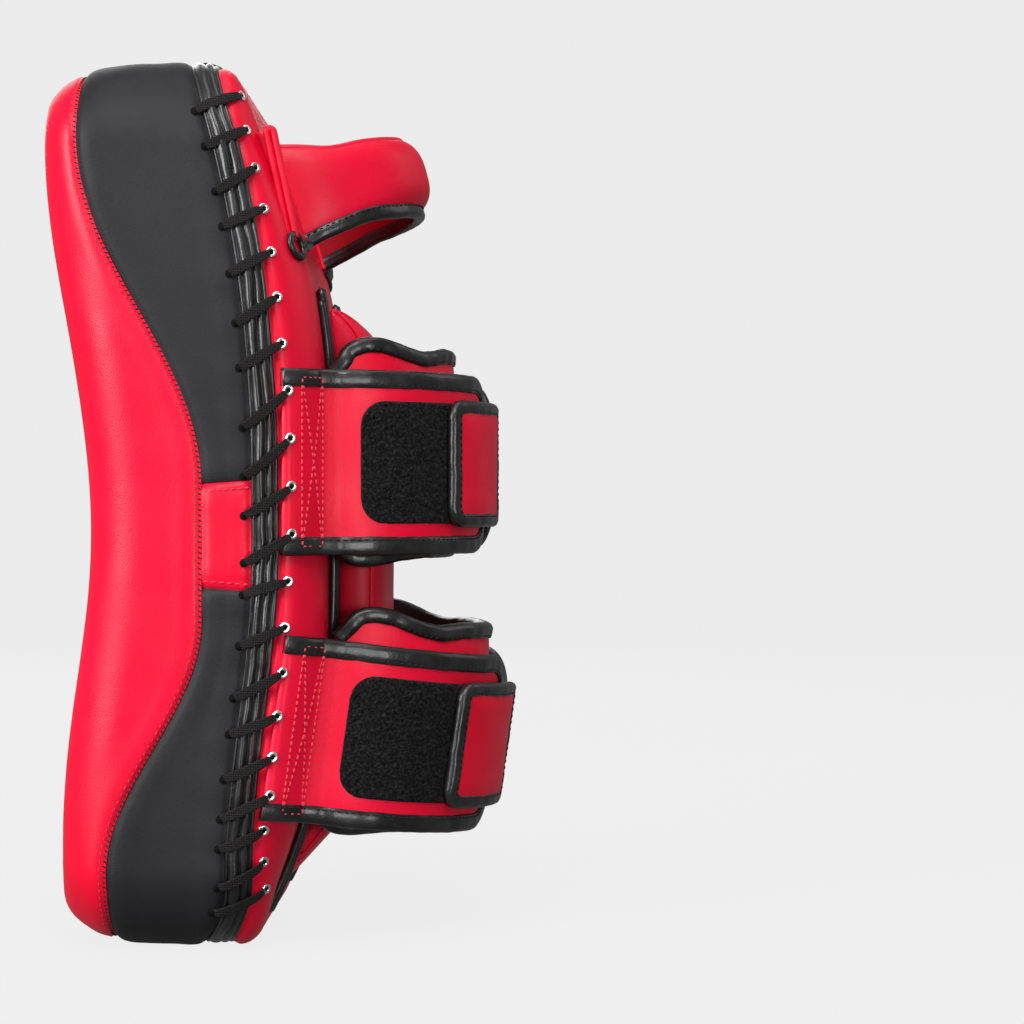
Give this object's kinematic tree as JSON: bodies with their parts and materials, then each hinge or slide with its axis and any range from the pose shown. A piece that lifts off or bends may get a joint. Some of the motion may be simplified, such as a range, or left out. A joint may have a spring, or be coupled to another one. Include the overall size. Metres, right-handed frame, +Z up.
{
  "type": "thai pad",
  "caption": "Curved rectangular martial arts strike pad with laced leather cover, forearm cushion, two padded hook-and-loop arm cuffs and a hand loop.",
  "frame": {"origin": "centre of the bounding box's bottom face", "axes": "+Z up the long axis towards the hand loop, -Y out of the striking face, +Y towards the holder, +X across the width"},
  "size_m": [0.2034, 0.2113, 0.3927],
  "materials": {
    "red_leather": "semi-matte grained",
    "black_leather": "matte grained",
    "gloss_binding": "glossy coated binding",
    "lining": "soft lining",
    "foam": "closed-cell foam",
    "lace": "flat woven lace",
    "eyelet_metal": "nickel plated",
    "loop_fabric": "fuzzy loop",
    "hook_tape": "hook tape"
  },
  "bodies": {
    "root": {"striking_cover": "red_leather", "upper_side_gusset": "black_leather", "lower_side_gusset": "black_leather", "near_side_patch": "red_leather", "far_side_patch": "red_leather", "lacing_gusset": "gloss_binding", "back_cover": "red_leather", "striking_foam": "foam", "core_foam": "foam", "back_foam": "foam", "eyelets": "eyelet_metal", "near_lace": "lace", "far_lace": "lace", "top_lace": "lace", "cushion_foam": "foam", "cushion_cover": "red_leather", "near_cushion_piping": "gloss_binding", "far_cushion_piping": "gloss_binding", "handle_cover": "red_leather", "handle_foam": "foam", "handle_lining": "lining", "handle_binding": "gloss_binding", "near_handle_flange": "red_leather", "far_handle_flange": "red_leather", "upper_near_strap_root": "red_leather", "upper_far_strap_root": "red_leather", "upper_cuff_cover": "red_leather", "upper_cuff_padding": "foam", "upper_cuff_lining": "lining", "upper_cuff_binding": "gloss_binding", "lower_near_strap_root": "red_leather", "lower_far_strap_root": "red_leather", "lower_cuff_cover": "red_leather", "lower_cuff_padding": "foam", "lower_cuff_lining": "lining", "lower_cuff_binding": "gloss_binding"},
    "upper_near_flap": {"upper_near_strap": "red_leather", "upper_near_strap_binding": "gloss_binding", "upper_loop_patch": "loop_fabric"},
    "upper_far_flap": {"upper_far_strap": "red_leather", "upper_far_strap_binding": "gloss_binding"},
    "upper_tab_flap": {"upper_closure_tab": "red_leather", "upper_tab_binding": "gloss_binding", "upper_hook_patch": "hook_tape"},
    "lower_near_flap": {"lower_near_strap": "red_leather", "lower_near_strap_binding": "gloss_binding", "lower_loop_patch": "loop_fabric"},
    "lower_far_flap": {"lower_far_strap": "red_leather", "lower_far_strap_binding": "gloss_binding"},
    "lower_tab_flap": {"lower_closure_tab": "red_leather", "lower_tab_binding": "gloss_binding", "lower_hook_patch": "hook_tape"}
  },
  "joints": [
    {"name": "upper_far_strap_open", "type": "hinge", "parent": "root", "child": "upper_far_flap", "pos_m": [-0.08523, 0.02019, 0.214], "axis": [0, 0, 1], "range_deg": [0, 65]},
    {"name": "upper_tab_peel", "type": "hinge", "parent": "upper_far_flap", "child": "upper_tab_flap", "pos_m": [-0.01, 0.09413, 0.214], "axis": [0, 0, 1], "range_deg": [0, 70]},
    {"name": "upper_near_strap_open", "type": "hinge", "parent": "root", "child": "upper_near_flap", "pos_m": [0.08523, 0.02019, 0.214], "axis": [0, 0, 1], "range_deg": [-32.5, 0]},
    {"name": "lower_far_strap_open", "type": "hinge", "parent": "root", "child": "lower_far_flap", "pos_m": [-0.08311, 0.01616, 0.09724], "axis": [0, 0.1392, 0.9903], "range_deg": [0, 65]},
    {"name": "lower_tab_peel", "type": "hinge", "parent": "lower_far_flap", "child": "lower_tab_flap", "pos_m": [-0.01, 0.09874, 0.08563], "axis": [0, 0.1392, 0.9903], "range_deg": [0, 70]},
    {"name": "lower_near_strap_open", "type": "hinge", "parent": "root", "child": "lower_near_flap", "pos_m": [0.08311, 0.01616, 0.09724], "axis": [0, 0.1392, 0.9903], "range_deg": [-32.5, 0]}
  ],
  "couplings": [
    {"joint": "upper_near_strap_open", "follows": "upper_far_strap_open", "ratio": -0.5},
    {"joint": "lower_near_strap_open", "follows": "lower_far_strap_open", "ratio": -0.5}
  ]
}
